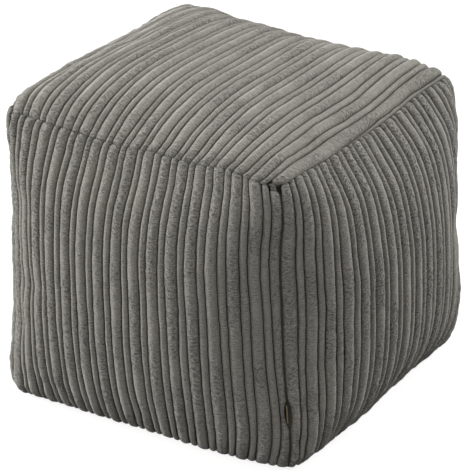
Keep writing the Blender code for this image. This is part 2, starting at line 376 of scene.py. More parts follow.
def pile_strokes(tree, cloth, swirl, push, stroke, detail):
    """Noise drawn out into strokes across a wale, bent by a coarser noise: the bent map
    and the noise. swirl is the coarser noise's size, stroke the strokes' two sizes."""
    swirls = add_node(tree, "ShaderNodeTexNoise", {"Vector": cloth, "Scale": 1 / swirl, "Detail": 1.0},
                      noise_dimensions="2D")
    pushed = add_node(tree, "ShaderNodeVectorMath",
                      {0: swirls.outputs["Color"], 1: (push, push, 0.0)}, operation="MULTIPLY")
    bent = add_node(tree, "ShaderNodeVectorMath", {0: cloth, 1: pushed}, operation="ADD")
    laid = add_node(tree, "ShaderNodeMapping",
                    {"Vector": bent, "Scale": (1 / stroke[0], 1 / stroke[1], 1)})
    noise = add_node(tree, "ShaderNodeTexNoise",
                     {"Vector": laid, "Scale": 1.0, "Detail": detail, "Roughness": 0.6},
                     noise_dimensions="2D")
    return bent, noise


def pile_material(colours):
    """Polyester jumbo corduroy: cut pile brushed up into wales.

    The pile is deep and matt, carries painted shade in its colour down in the grooves, and
    brightens where it is seen along its side. Handling crushes the wide wales into short
    swirling nicks; painted shade darkens the colour in their hollows.
    """
    material, tree, shader = new_material("polyester corduroy pile")
    cloth = add_node(tree, "ShaderNodeUVMap", uv_map="cloth").outputs["UV"]
    rise = add_node(tree, "ShaderNodeAttribute", attribute_name="rise").outputs["Fac"]
    crush = add_node(tree, "ShaderNodeAttribute", attribute_name="crush").outputs["Fac"]

    # Fine strokes where the pile lies calm, and coarse nicks where it is crushed.
    _, hatch = pile_strokes(tree, cloth, 0.012, 0.0030, (0.0060, 0.0013), 1.0)
    bent, nicks = pile_strokes(tree, cloth, 0.007, 0.0050, (0.0040, 0.0022), 2.0)
    ruffle = add_node(tree, "ShaderNodeMapRange",
                      {"Value": hatch, "From Min": 0.38, "From Max": 0.62, "To Min": -0.5, "To Max": 0.5})
    ruffled = add_node(tree, "ShaderNodeMath", {0: crush, 1: 0.80, 2: 0.26}, operation="MULTIPLY_ADD")
    calm = add_node(tree, "ShaderNodeMath", {0: ruffle, 1: ruffled, 2: 0.70},
                    operation="MULTIPLY_ADD")
    locks = add_node(tree, "ShaderNodeMapRange",
                     {"Value": nicks, "From Min": 0.36, "From Max": 0.60, "To Min": -0.15, "To Max": 1.2})
    crushed = add_node(tree, "ShaderNodeMix", {0: crush, 2: calm, 3: locks})

    fibre = add_node(tree, "ShaderNodeTexNoise",
                     {"Vector": cloth, "Scale": 1 / 0.0014, "Detail": 2.0, "Roughness": 0.6},
                     noise_dimensions="2D")
    height = add_node(tree, "ShaderNodeMath", {0: fibre, 1: 0.30, 2: crushed}, operation="MULTIPLY_ADD")
    bump = add_node(tree, "ShaderNodeBump", {"Strength": 1.0, "Distance": 0.0014, "Height": height})

    # What darkens or lightens the pile's colour, over patches that were brushed one way or the other:
    # the nicks, partly their own tone and partly painted shade in their hollows; painted shade down
    # in the grooves; fibres; and painted shade in the odd parted spot.
    patches = add_node(tree, "ShaderNodeTexNoise", {"Vector": cloth, "Scale": 1 / 0.030, "Detail": 2.0},
                       noise_dimensions="2D")
    specks = add_node(tree, "ShaderNodeTexNoise", {"Vector": bent, "Scale": 1 / 0.0042, "Detail": 0.0},
                      noise_dimensions="2D")
    factors = (
        (patches, (0.3, 0.7), (0.92, 1.08), "LINEAR"),
        # the nicks: partly the crushed pile's own tone, partly painted shade in their hollows
        (crushed, (0.0, 1.0), (0.50, 1.20), "LINEAR"),
        # painted shade: darker down a wale's sides into its grooves, where it rises less
        (rise, (0.0, 0.95), (0.50, 1.06), "SMOOTHSTEP"),
        (fibre, (0.33, 0.67), (0.68, 1.32), "LINEAR"),
        # painted shade in the odd parted spot of the pile
        (specks, (0.77, 0.85), (1.0, 0.65), "LINEAR"),
    )
    shade = 1.0
    for value, (low, high), (dark, light), step in factors:
        factor = add_node(tree, "ShaderNodeMapRange",
                          {"Value": value, "From Min": low, "From Max": high,
                           "To Min": dark, "To Max": light}, interpolation_type=step)
        shade = add_node(tree, "ShaderNodeMath", {0: shade, 1: factor}, operation="MULTIPLY")
    base = add_node(tree, "ShaderNodeVectorMath", {0: tuple(colours.pile)[:3], "Scale": shade},
                    operation="SCALE")
    rough = add_node(tree, "ShaderNodeMapRange", {"Value": fibre, "To Min": 0.82, "To Max": 1.0})
    set_inputs(tree, shader, {
        "Base Color": base, "Normal": bump, "Roughness": rough, "Specular IOR Level": 0.0,
        "Sheen Weight": 0.80, "Sheen Roughness": 0.60, "Sheen Tint": tuple(colours.sheen),
    })
    return material


def ground_painted_shade_material(colours):
    """Plain cotton weave that carries the pile, seen only in grooves and seams: its colour is made dark
    as painted shade for them.
    """
    material, tree, shader = new_material("cotton ground weave")
    place = add_node(tree, "ShaderNodeTexCoord").outputs["Object"]
    threads = add_node(tree, "ShaderNodeTexNoise", {"Vector": place, "Scale": 1 / 0.0012, "Detail": 2.0})
    shade = add_node(tree, "ShaderNodeMapRange", {"Value": threads, "To Min": 0.7, "To Max": 1.2})
    base = add_node(tree, "ShaderNodeVectorMath", {0: tuple(colours.ground)[:3], "Scale": shade},
                    operation="SCALE")
    bump = add_node(tree, "ShaderNodeBump", {"Strength": 0.6, "Distance": 0.0004, "Height": threads})
    set_inputs(tree, shader, {
        "Base Color": base, "Normal": bump, "Roughness": 0.95, "Specular IOR Level": 0.1,
    })
    return material


def tape_material(colours):
    """Woven polyester tape: fine cross ribs every 0.6 mm and a slight satin gloss."""
    material, tree, shader = new_material("woven polyester tape")
    place = add_node(tree, "ShaderNodeTexCoord").outputs["Object"]
    ribs = add_node(tree, "ShaderNodeTexWave",
                    {"Vector": place, "Scale": 2 * math.pi / 20 / 0.0006,
                     "Distortion": 0.6, "Detail": 1.0}, bands_direction="Z")
    flecks = add_node(tree, "ShaderNodeTexNoise", {"Vector": place, "Scale": 1 / 0.0009, "Detail": 2.0})
    shade = add_node(tree, "ShaderNodeMapRange", {"Value": flecks, "To Min": 0.75, "To Max": 1.15})
    base = add_node(tree, "ShaderNodeVectorMath", {0: tuple(colours.tape)[:3], "Scale": shade},
                    operation="SCALE")
    bump = add_node(tree, "ShaderNodeBump",
                    {"Strength": 0.7, "Distance": 0.0002, "Height": ribs.outputs["Fac"]})
    set_inputs(tree, shader, {"Base Color": base, "Normal": bump, "Roughness": 0.55})
    return material


# ------------------------------------------------------------------ settings
class FootstoolSizes(bpy.types.PropertyGroup):
    """Sizes of the cloth and of the filling."""

    pair: bpy.props.FloatProperty(
        name="Wale pair", description="Width of one wide and one narrow wale together",
        default=0.0246, unit="LENGTH")
    wide_share: bpy.props.FloatProperty(
        name="Wide share", description="The wide wale's part of that pair",
        default=0.615, subtype="FACTOR")
    wide_rise: bpy.props.FloatProperty(
        name="Wide wale rise", description="Height of a wide wale over its grooves",
        default=0.0056, unit="LENGTH")
    narrow_rise: bpy.props.FloatProperty(
        name="Narrow wale rise", description="Height of a narrow wale over its grooves",
        default=0.0044, unit="LENGTH")
    groove: bpy.props.FloatProperty(
        name="Groove", description="Width of a groove's floor", default=0.0013, unit="LENGTH")
    wander: bpy.props.FloatProperty(
        name="Wander", description="How far a groove strays from its even place",
        default=0.0009, unit="LENGTH")
    end_round: bpy.props.FloatProperty(
        name="Wale end", description="Length over which a wale rounds off at a seam",
        default=0.0048, unit="LENGTH")
    pressure: bpy.props.FloatProperty(
        name="Filling pressure", description="Pressure of the filling on the cover in the simulation",
        default=4.0)
    swell_cap: bpy.props.FloatProperty(
        name="Swell cap", description="The filling can't move any point of the cover as far as this",
        default=0.012, unit="LENGTH")


class FootstoolColours(bpy.types.PropertyGroup):
    """Colours of the cloth and the studio."""

    pile: bpy.props.FloatVectorProperty(
        name="Pile", description="Warm grey of the corduroy's wales", default=linear("#8b8981"),
        size=4, subtype="COLOR")
    sheen: bpy.props.FloatVectorProperty(
        name="Sheen", description="Tint of the light caught by the pile's tips",
        default=linear("#f2efe8"), size=4, subtype="COLOR")
    # painted shade: the ground's colour is made dark for the grooves and seams it shows in
    ground: bpy.props.FloatVectorProperty(
        name="Ground", description="Cloth between the wales", default=linear("#57544e"),
        size=4, subtype="COLOR")
    tape: bpy.props.FloatVectorProperty(
        name="Tape", description="Beige tape of the tab", default=linear("#c8b48a"),
        size=4, subtype="COLOR")
    floor: bpy.props.FloatVectorProperty(
        name="Floor", description="Pale studio floor", default=linear("#9a9a98"),
        size=4, subtype="COLOR")


class FootstoolStudio(bpy.types.PropertyGroup):
    """The camera."""

    azimuth: bpy.props.FloatProperty(
        name="Azimuth", description="Camera's turn from the front towards the right",
        default=math.radians(32.35), subtype="ANGLE")
    elevation: bpy.props.FloatProperty(
        name="Elevation", description="Camera's height above the level", default=math.radians(27.12),
        subtype="ANGLE")
    distance: bpy.props.FloatProperty(
        name="Distance", description="From the camera to the point it looks at",
        default=5.293, unit="LENGTH")
    lens: bpy.props.FloatProperty(
        name="Lens", description="Focal length on a 36 mm sensor, in millimetres", default=341.0)


# ------------------------------------------------------------------ the stuffed cover
CELLS = 44                   # quads along one side of a panel before it is subdivided
ON_FACE = 0.999              # past this, a point of the 2 m cube is on a face of it
SEAM_CROWD = 1.2             # the higher, the more the cover's rows crowd towards the seams
SLACK = 0.80                 # the crowns before the cover is filled, as a part of the full ones
FRAMES = 20
GROWTH = 0.015               # how much larger than its flat pattern the cloth pulls
EASING = 3                   # times that the push of the filling is evened out

LEAST_HEIGHT = 0.0036        # of the ground cloth over the floor, where its wales are pressed
# Swells and hollows that the filling's weight and the sewing leave, listed:
# where each one is, how far it moves the cover there in mm, and its reach.
LEANS = (
    # down the front left seam
    ((-0.190, -0.087, 0.379), (-2.7, -0.4, 2.2), 0.055),
    ((-0.196, -0.187, 0.345), (2.2, 1.0, -0.8), 0.055),
    ((-0.178, -0.155, 0.376), (-4.0, 0.0, 6.0), 0.032),
    ((-0.192, -0.192, 0.366), (-4.6, -1.5, -2.4), 0.022),
    ((-0.197, -0.186, 0.253), (4.5, 2.4, -0.7), 0.055),
    ((-0.209, -0.169, 0.134), (4.0, 3.0, 0.7), 0.055),
    # along the back of the top
    ((-0.193, 0.075, 0.375), (1.6, -0.3, -2.1), 0.055),
    ((-0.171, 0.172, 0.370), (-0.7, 0.5, 1.6), 0.055),
    ((-0.180, 0.145, 0.371), (0.0, 0.0, -3.5), 0.035),
    ((-0.140, 0.178, 0.372), (0.0, 0.0, 2.0), 0.030),
    ((-0.160, 0.185, 0.372), (0.0, 0.0, 1.6), 0.016),
    ((-0.015, 0.155, 0.390), (0.0, 0.0, 5.5), 0.060),
    ((0.060, 0.150, 0.390), (0.0, 0.0, 5.0), 0.070),
    ((0.145, 0.150, 0.380), (0.5, 0.5, 7.5), 0.048),
    ((0.160, 0.195, 0.362), (0.0, 1.0, -6.0), 0.024),
    ((0.168, 0.166, 0.372), (0.0, 0.0, 1.8), 0.018),
    ((0.192, 0.175, 0.357), (0.0, 0.0, -2.0), 0.016),
    # down the back right seam
    ((0.202, 0.165, 0.314), (1.5, 1.5, 0.9), 0.055),
    ((0.209, 0.171, 0.100), (3.2, 1.7, -0.5), 0.055),
    ((0.197, 0.164, 0.018), (2.3, 0.8, 0.0), 0.055),
    # round the base
    ((0.193, 0.065, 0.005), (-6.6, -1.2, 0.0), 0.055),
    ((0.166, -0.185, 0.005), (-1.8, 1.6, 0.0), 0.050),
    ((-0.194, -0.192, 0.075), (1.5, 1.3, 0.0), 0.035),
    ((-0.188, -0.192, 0.012), (-2.5, -1.5, -1.0), 0.025),
    ((0.200, 0.125, 0.020), (-3.0, -1.0, 0.0), 0.040),
    ((0.087, -0.199, 0.005), (-0.3, -0.6, 0.0), 0.055),
    ((-0.012, -0.198, 0.006), (1.0, 3.0, 0.0), 0.055),
    ((-0.116, -0.201, 0.007), (-1.2, 2.6, 1.0), 0.065),
    # along the top's front and right seams
    ((-0.056, -0.192, 0.369), (0.6, -1.0, -2.3), 0.030),
    ((0.031, -0.192, 0.369), (-0.4, 0.6, 1.4), 0.030),
    ((0.111, -0.193, 0.370), (-1.2, 1.9, 4.4), 0.030),
    ((0.156, -0.192, 0.370), (0.3, -0.4, -1.0), 0.030),
    ((0.185, -0.153, 0.370), (-0.7, 1.1, 2.6), 0.030),
    ((0.189, -0.065, 0.367), (-0.7, 1.1, 2.6), 0.045),
    ((0.190, 0.010, 0.364), (-0.3, 0.5, 1.0), 0.040),
    ((0.189, 0.088, 0.364), (-1.4, 2.2, 5.0), 0.050),
    # down the front right seam
    ((0.179, -0.187, 0.332), (1.4, 0.9, 0.0), 0.035),
    ((0.176, -0.180, 0.262), (-1.1, -0.7, 0.0), 0.035),
    ((0.178, -0.176, 0.147), (-0.6, -0.4, 0.0), 0.035),
    ((0.186, -0.180, 0.053), (1.7, 1.1, 0.0), 0.035),
)

# Where a corner seam gapes, round the tab and just under two of the top's corners: its
# place on the seam (-1 base to 1 top), half height, half the width of its mouth, depth.
GAPES = (
    dict(seam="front_right", place=-0.627, height=0.0185, width=0.0034, depth=0.0115),
    dict(seam="front_left", place=0.945, height=0.0090, width=0.0038, depth=0.0105),
    dict(seam="front_right", place=0.990, height=0.0090, width=0.0008, depth=0.0120),
)
POCKET = dict(aside=0.0057, behind=0.014)     # reach of a gape's pocket round its seam
# A hollow where the top's last narrow wale ends beside its near corner: where it is, how
# it pushes the ground cloth in mm, its reach, and how much shorter wales end round it.
HOLLOW = dict(place=(0.1680, -0.1890, 0.3680), push=(-6.0, 12.0, -9.0), reach=0.0085, gap=0.0060)


def crowded(place):
    """Places from -1 to 1, drawn towards both ends."""
    return np.sin(place * SEAM_CROWD) / math.sin(SEAM_CROWD)


def panel_grids(cube):
    """For each panel, the numbers of a subdivided cube's vertices, as rows of columns."""
    grids = {}
    for name, (out, right, up) in FACING.items():
        on_panel = np.flatnonzero(cube @ out > ON_FACE)
        column = np.rint((cube[on_panel] @ right + 1) / 2 * CELLS).astype(int)
        row = np.rint((cube[on_panel] @ up + 1) / 2 * CELLS).astype(int)
        grid = np.empty((CELLS + 1, CELLS + 1), int)
        grid[row, column] = on_panel
        grids[name] = grid
    return grids


def swell(cover, pinned, sizes):
    """Where the filling pushes the cover: its points after the cloth simulation."""
    pad = cover.copy()
    pad.data = cover.data.copy()
    bpy.context.scene.collection.objects.link(pad)
    seams = pad.vertex_groups.new(name="seams")
    seams.add([int(i) for i in pinned], 1.0, "REPLACE")
    cloth = pad.modifiers.new("filling", "CLOTH")
    settings = cloth.settings
    settings.quality = 6
    settings.mass = 0.3
    settings.vertex_group_mass = seams.name
    settings.use_pressure = True
    settings.uniform_pressure_force = sizes.pressure
    settings.shrink_min = -GROWTH
    settings.effector_weights.gravity = 0
    settings.tension_stiffness = 15
    settings.compression_stiffness = 15
    settings.bending_stiffness = 2.0
    for number in range(1, FRAMES + 1):
        bpy.context.scene.frame_set(number)
    shape = pad.evaluated_get(bpy.context.evaluated_depsgraph_get()).data
    points = places_of(shape)
    bpy.context.scene.frame_set(1)
    bpy.data.objects.remove(pad)
    return points


def eased(moved, grids):
    """The filling's push with its sharpest puckers evened out; the seams keep theirs."""
    for _ in range(EASING):
        for grid in grids.values():
            field = moved[grid]
            inner = field[1:-1, 1:-1]
            around = field[:-2, 1:-1] + field[2:, 1:-1] + field[1:-1, :-2] + field[1:-1, 2:]
            moved[grid[1:-1, 1:-1]] = 0.5 * inner + 0.125 * around
    return moved


def leaned(points):
    """The cover with its swells and hollows."""
    moved = points.copy()
    for place, push, reach in LEANS:
        far = np.linalg.norm(points - place, axis=1, keepdims=True) / reach
        moved += 0.001 * np.array(push) * np.exp(-far ** 2)
    return moved


def seam_spot(name, place):
    """A point on an upright seam of the finished form."""
    return upright_seam(name, np.array([place]))[0] - np.array((*CENTRE, 0.0))


def gaping(points):
    """The cover with its pockets where the corner seams gape."""
    moved = points.copy()
    for row in GAPES:
        outward = np.array((*SEAMS[row["seam"]]["out"], 0)) / math.sqrt(2)
        off = points - seam_spot(row["seam"], row["place"])
        along = np.clip(1 - (off[:, 2] / row["height"]) ** 2, 0, 1)
        aside = off @ np.cross(outward, (0, 0, 1))
        near = np.clip(1 - np.abs(aside) / POCKET["aside"], 0, 1) * (off @ outward > -POCKET["behind"])
        moved -= (row["depth"] * along * near)[:, None] * outward
    far = np.linalg.norm(points - HOLLOW["place"], axis=1, keepdims=True) / HOLLOW["reach"]
    return moved + 0.001 * np.array(HOLLOW["push"]) * np.exp(-far ** 2)


class FOOTSTOOL_OT_cover(bpy.types.Operator):
    """Swell a sewn cube into the stuffed cover that carries the wales"""

    bl_idname = "footstool.cover"
    bl_label = "Stuffed cover"

    def execute(self, context):
        sizes = context.scene.footstool_sizes
        deselect()
        bpy.ops.mesh.primitive_cube_add(size=2.0)
        cover = context.object
        cover.name = cover.data.name = "stuffed_cover"
        bpy.ops.object.mode_set(mode="EDIT")
        bpy.ops.mesh.select_all(action="SELECT")
        bpy.ops.mesh.subdivide(number_cuts=CELLS - 1)
        bpy.ops.object.mode_set(mode="OBJECT")
        cube = places_of(cover.data)
        grids = panel_grids(cube)
        even = crowded(np.linspace(-1, 1, CELLS + 1))
        across, along = np.meshgrid(even, even)
        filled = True
        points = np.zeros_like(cube)
        for name, grid in grids.items():
            points[grid] = panel_form(name, across, along, SLACK if filled else 1.0)
        if filled:
            seam_points = np.flatnonzero((np.abs(cube) > ON_FACE).sum(axis=1) > 1)
            set_places(cover.data, points)
            moved = eased(swell(cover, seam_points, sizes) - points, grids)
            far = np.linalg.norm(moved, axis=1, keepdims=True)
            points += moved * sizes.swell_cap / (sizes.swell_cap + far)
        points = leaned(points)
        points[:, 2] = np.maximum(points[:, 2], LEAST_HEIGHT)
        CONTROL.update({name: points[grid] for name, grid in grids.items()})
        set_places(cover.data, gaping(points))
        only(cover)
        rounder = cover.modifiers.new("rounder", "SUBSURF")
        rounder.levels = rounder.render_levels = 1
        bpy.ops.object.modifier_apply(modifier=rounder.name)
        bpy.ops.object.shade_smooth()
        settle(cover, ground_painted_shade_material(context.scene.footstool_colours), COVER_NODE)
        return {"FINISHED"}


CONTROL = {}                 # each panel's points after the filling, as rows of columns

# ------------------------------------------------------------------ the wales
RINGS = 286                  # rings of points along a wale
BASE_RINGS = 70
FINE_ACROSS = 440            # readings of the cloth across a panel
FINE_ALONG = 800             # readings of its middle line
END_RINGS = (0.0, 0.00015, 0.0005, 0.0010, 0.0016, 0.0023, 0.0031, 0.0040)
ROOT_DEPTH = 0.0009          # how deep a wale's underside lies in the cover
THINNEST = 0.0008            # a wale that runs out into a seam gets this narrow
TURNED_UNDER = (0.0120, 0.0095, 0.0072, 0.0052, 0.0034, 0.0018)   # a side's cloth past its base seam
TURNED_LEVEL = 0.006         # from this far past that seam, the cloth lies level
TUBE_LENGTH = 20             # of a wale's unit tube, so that only points that meet are merged

# Wide (True) and narrow wales. points: over the back; sides, back: fullness of the outline;
# end_gap: where a wale ends, past the seam's own line if less than zero; end_rise: what is
# left of its rise there, pressed against the wale across the seam; lump, relief: length and
# height of the lumps in its back; crush, crush_limits: how crushed its pile is on the whole,
# how much that changes along it, and the least and most.
WALES = {
    True: dict(points=9, sides=2.2, back=1.65, end_gap=(-0.0007, 0.0008), end_rise=(0.10, 0.40),
               lump=0.0040, relief=0.00055, crush=(0.55, 1.0), crush_limits=(0.12, 1.0)),
    False: dict(points=7, sides=2.0, back=1.60, end_gap=(-0.0014, 0.0001), end_rise=(0.35, 0.60),
                lump=0.0070, relief=0.00022, crush=(0.12, 0.4), crush_limits=(0.05, 0.5)),
}
BASE_END_GAP = (0.0130, 0.0145)              # the base's wales end short of the sides' turned ends
TOP_BACK_END = dict(rise=0.90, gap=-0.003)   # the top's wales roll over its back seam
END_WIDTH = 0.72             # of a wale's width, left where it has rounded off altogether
# A wale that gets narrower than a part of a pair also gets lower, the more so the higher
# the power is.
LOWERED = dict(under=0.30, power=0.8)
# The pile is crushed towards seams: by how much at a wale's ends and how far, and by how
# much along an upright seam, whose edges are also ragged and stand a little apart.
CRUSHED = dict(more=0.55, reach=0.016, beside=0.45, ragged=0.6, inset=0.0005)
# A wale is pressed flatter towards the floor: from what height, to what part of its rise,
# and how much of its groove closes.
PRESSED = dict(height=0.020, least=0.22, closed=0.8)
# How a groove strays: waves by their length, share, numbers apart from groove to groove,
# and seed.
STRAYS = (
    dict(length=0.055, share=1.0, apart=3.7, seed=1),
    dict(length=0.012, share=0.3, apart=5.1, seed=2),
    dict(length=0.005, share=0.22, apart=7.7, seed=6),
)
# How a wale's rise, lumps and crush change, in the same way. Calm pile keeps a part of
# its lumps.
RISE_WAVES = dict(length=0.05, share=0.07, apart=2.3, seed=3)
LUMPS = dict(across=0.0050, calm=0.4, seed=4)
CRUSH_WAVES = dict(length=0.035, apart=1.7, seed=5)


def wale_edges(name, sizes):
    """A panel's grooves in pairs from its right-hand seam, whether each wale between them
    is wide, and how many pairs the panel holds."""
    pairs = 2 * HALF / sizes.pair
    edges = [0.0, CUTS[name]["first"]]
    wide = CUTS[name]["wide_next"]
    wides = [not wide]
    far_side = pairs + OVERRUN.get(name, 0.0)
    while edges[-1] < far_side:
        edges.append(edges[-1] + (sizes.wide_share if wide else 1 - sizes.wide_share))
        wides.append(wide)
        wide = not wide
    if far_side - edges[-2] < SLIVER:
        edges.pop()
        wides.pop()
    edges[-1] = pairs
    if CUTS[name]["seam"] == "left":
        edges = [pairs - edge for edge in reversed(edges)]
        wides.reverse()
    return edges, wides, pairs


def wale_rows(grid, count):
    """Places from 0 to 1 along a panel, even on its middle line but crowded at its ends."""
    middle = smooth_between(grid[:, grid.shape[1] // 2], np.linspace(0, len(grid) - 1, FINE_ALONG))
    length = np.concatenate(([0.0], np.cumsum(np.linalg.norm(np.diff(middle, axis=0), axis=1))))
    ends = np.array(END_RINGS)
    inner = np.linspace(ends[-1], length[-1] - ends[-1], count - 2 * len(ends) + 2)
    stations = np.concatenate((ends[:-1], inner, (length[-1] - ends[:-1])[::-1]))
    return np.interp(stations, length, np.linspace(0, 1, FINE_ALONG))


def under_base(seam, inward):
    """Lines of points that carry a side panel's cloth on under the base, deepest first."""
    lines = []
    for reach in TURNED_UNDER:
        line = seam + inward * reach
        line[:, 2] += (LEAST_HEIGHT - line[:, 2]) * min(1.0, reach / TURNED_LEVEL)
        lines.append(line)
    return np.array(lines)


def cloth_reading(name, rows):
    """Points, normals and distances of a panel's cloth: rows along, fine places across."""
    grid = CONTROL[name]
    lines = smooth_between(grid, rows * (len(grid) - 1))
    if name in SIDES:
        lines = np.concatenate((under_base(lines[0], -np.array(FACING[name][0], float)), lines))
    fine = smooth_between(lines.transpose(1, 0, 2), np.linspace(0, grid.shape[1] - 1, FINE_ACROSS))
    points = fine.transpose(1, 0, 2)
    normal = np.cross(np.gradient(points, axis=1), np.gradient(points, axis=0))
    normal /= np.maximum(np.linalg.norm(normal, axis=2, keepdims=True), 1e-12)
    steps = np.linalg.norm(np.diff(points, axis=1), axis=2)
    across = np.concatenate((np.zeros((len(points), 1)), np.cumsum(steps, axis=1)), axis=1)
    steps = np.linalg.norm(np.diff(points, axis=0), axis=2)
    along = np.concatenate((np.zeros((1, FINE_ACROSS)), np.cumsum(steps, axis=0)))
    return points, normal, across, along


def wale_template(wide, rings):
    """A unit tube with a wale's points: a grid rolled up and closed at both ends."""
    around = WALES[wide]["points"] + 1
    deselect()
    bpy.ops.mesh.primitive_grid_add(x_subdivisions=around, y_subdivisions=rings - 1, size=2.0)
    tube = bpy.context.object
    flat = places_of(tube.data)
    angle = (flat[:, 0] + 1) * math.pi
    length = flat[:, 1] * TUBE_LENGTH / 2
    set_places(tube.data, np.stack((-np.sin(angle), length, -np.cos(angle)), axis=1))
    bpy.ops.object.mode_set(mode="EDIT")
    bpy.ops.mesh.select_all(action="SELECT")
    bpy.ops.mesh.remove_doubles(threshold=0.0001)
    bpy.ops.mesh.select_all(action="SELECT")
    bpy.ops.mesh.fill_holes(sides=0)
    bpy.ops.mesh.select_all(action="SELECT")
    bpy.ops.mesh.normals_make_consistent(inside=False)
    bpy.ops.object.mode_set(mode="OBJECT")
    rolled = places_of(tube.data)
    turn = np.arctan2(-rolled[:, 0], -rolled[:, 2]) % (2 * math.pi)
    step = np.rint(turn / (2 * math.pi) * around).astype(int) % around
    ring = np.rint((rolled[:, 1] / TUBE_LENGTH + 0.5) * (rings - 1)).astype(int)
    return tube, step, ring


def section(wide, width, rise):
    """A wale's outline across: offsets to the right and heights, from its underside round.

    width and rise are arrays along the wale; the first point is the middle underneath.
    """
    row = WALES[wide]
    angle = np.linspace(math.pi, 0, row["points"])
    reach = np.sign(np.cos(angle)) * np.abs(np.cos(angle)) ** (2 / row["sides"])
    lift = np.abs(np.sin(angle)) ** (2 / row["back"])
    offset = np.concatenate(([0.0], reach))[None, :] * width[:, None] / 2
    height = np.concatenate(([0.0], lift))[None, :] * rise[:, None]
    height[:, 0] = -ROOT_DEPTH
    height[:, [1, -1]] = -ROOT_DEPTH / 2
    return offset, height


def gape_mouth(points, name):
    """How gapes move the wales' edges at the panel's right-hand (True) and left-hand seam."""
    moved = {True: np.zeros(len(points)), False: np.zeros(len(points))}
    for row in GAPES:
        for right_hand in (True, False):
            if SIDES[name]["right" if right_hand else "left"] == row["seam"]:
                height = points[:, -1 if right_hand else 0, 2] - seam_spot(row["seam"], row["place"])[2]
                opening = row["width"] * np.clip(1 - (height / row["height"]) ** 2, 0, 1)
                moved[right_hand] += -opening if right_hand else opening
    return moved


def drifted(name, across, along):
    """How far a groove drifts to the left along its length, in pairs of wales."""
    if name not in DRIFT:
        return 0.0
    across = np.full_like(along, max(across, -1.0))
    return np.polynomial.polynomial.polyval2d(across, along, np.array(DRIFT[name]))


def waves(station, number, row, seed):
    """Smooth noise along a groove or a wale, from -1 to 1."""
    offset = np.full(len(station), number * row["apart"])
    return lattice_noise(station / row["length"], offset, seed + row["seed"])


def groove_lines(name, edges, pairs, points, full_width, station, sizes, seed):
    """Where each groove lies along its length, from the panel's left-hand seam."""
    place_along = 2 * np.linspace(0, 1, len(station)) - 1
    even = 2 * station / station[-1] - 1
    skew = SKEW["shift"] + SKEW["turn"] / 2 * place_along if name == "top" else 0
    growth = (place_along - STRIP["start"]) / (STRIP["full"] - STRIP["start"])
    mouth = gape_mouth(points, name) if name in SIDES else {}
    lines = []
    for groove, place in enumerate(edges):
        stray = sum(row["share"] * waves(station, groove, row, seed) for row in STRAYS)
        at_seam = groove in (0, len(edges) - 1)
        if name == "top" and groove == 1:
            place = np.clip(growth, 0, 1) * STRIP["width"]
        elif not at_seam:
            place = place + skew + drifted(name, 1 - 2 * place / pairs, even)
        line = (1 - place / pairs) * full_width
        if not at_seam:
            line = line + sizes.wander * stray
        elif name in SIDES:
            inset = CRUSHED["inset"] + CRUSHED["ragged"] * sizes.wander * np.abs(stray)
            line = line + mouth[groove == 0] + (-inset if groove == 0 else inset)
        lines.append(np.clip(line, 0, full_width))
    return lines


def end_shape(name, wide, run, end_spots, sizes, rng):
    """How much of its rise a wale has along its length, rounded off at both ends."""
    gaps = rng.uniform(*(BASE_END_GAP if name == "base" else WALES[wide]["end_gap"]), 2)
    least = np.zeros(2) if name == "base" else rng.uniform(*WALES[wide]["end_rise"], 2)
    if name == "top":
        gaps[1], least[1] = TOP_BACK_END["gap"], TOP_BACK_END["rise"]
    for end, spot in enumerate(end_spots):
        closeness = math.exp(-(math.dist(spot, HOLLOW["place"]) / HOLLOW["reach"]) ** 2)
        gaps[end] += HOLLOW["gap"] * closeness
        least[end] *= 1 - closeness
    ends = []
    for near, left_over in zip((run - gaps[0], run[-1] - gaps[1] - run), least):
        closing = np.clip(near / sizes.end_round, 0, 1)
        ends.append(left_over + (1 - left_over) * np.sqrt(1 - (1 - closing) ** 2))
    return np.minimum(*ends)


def crushing(wide, number, beside_seam, station, run, seed):
    """How crushed a wale's pile is along its length, from 0 to 1."""
    whole, change = WALES[wide]["crush"]
    offset = np.full(len(station), number * CRUSH_WAVES["apart"])
    patch = lattice_noise(offset, station / CRUSH_WAVES["length"], seed + CRUSH_WAVES["seed"])
    crush = np.clip(whole + change * patch, *WALES[wide]["crush_limits"])
    if beside_seam:
        crush = crush + CRUSHED["beside"]
    near = np.minimum(run, run[-1] - run) / CRUSHED["reach"]
    return np.clip(crush + CRUSHED["more"] * np.exp(-near), 0, 1)


def read_across(places, across, values):
    """The cloth's points or normals at places across it, one row of places for each ring."""
    rows = zip(places, across, values)
    return np.array([[np.interp(place, at, value[:, axis]) for axis in range(3)]
                     for place, at, value in rows]).transpose(0, 2, 1)


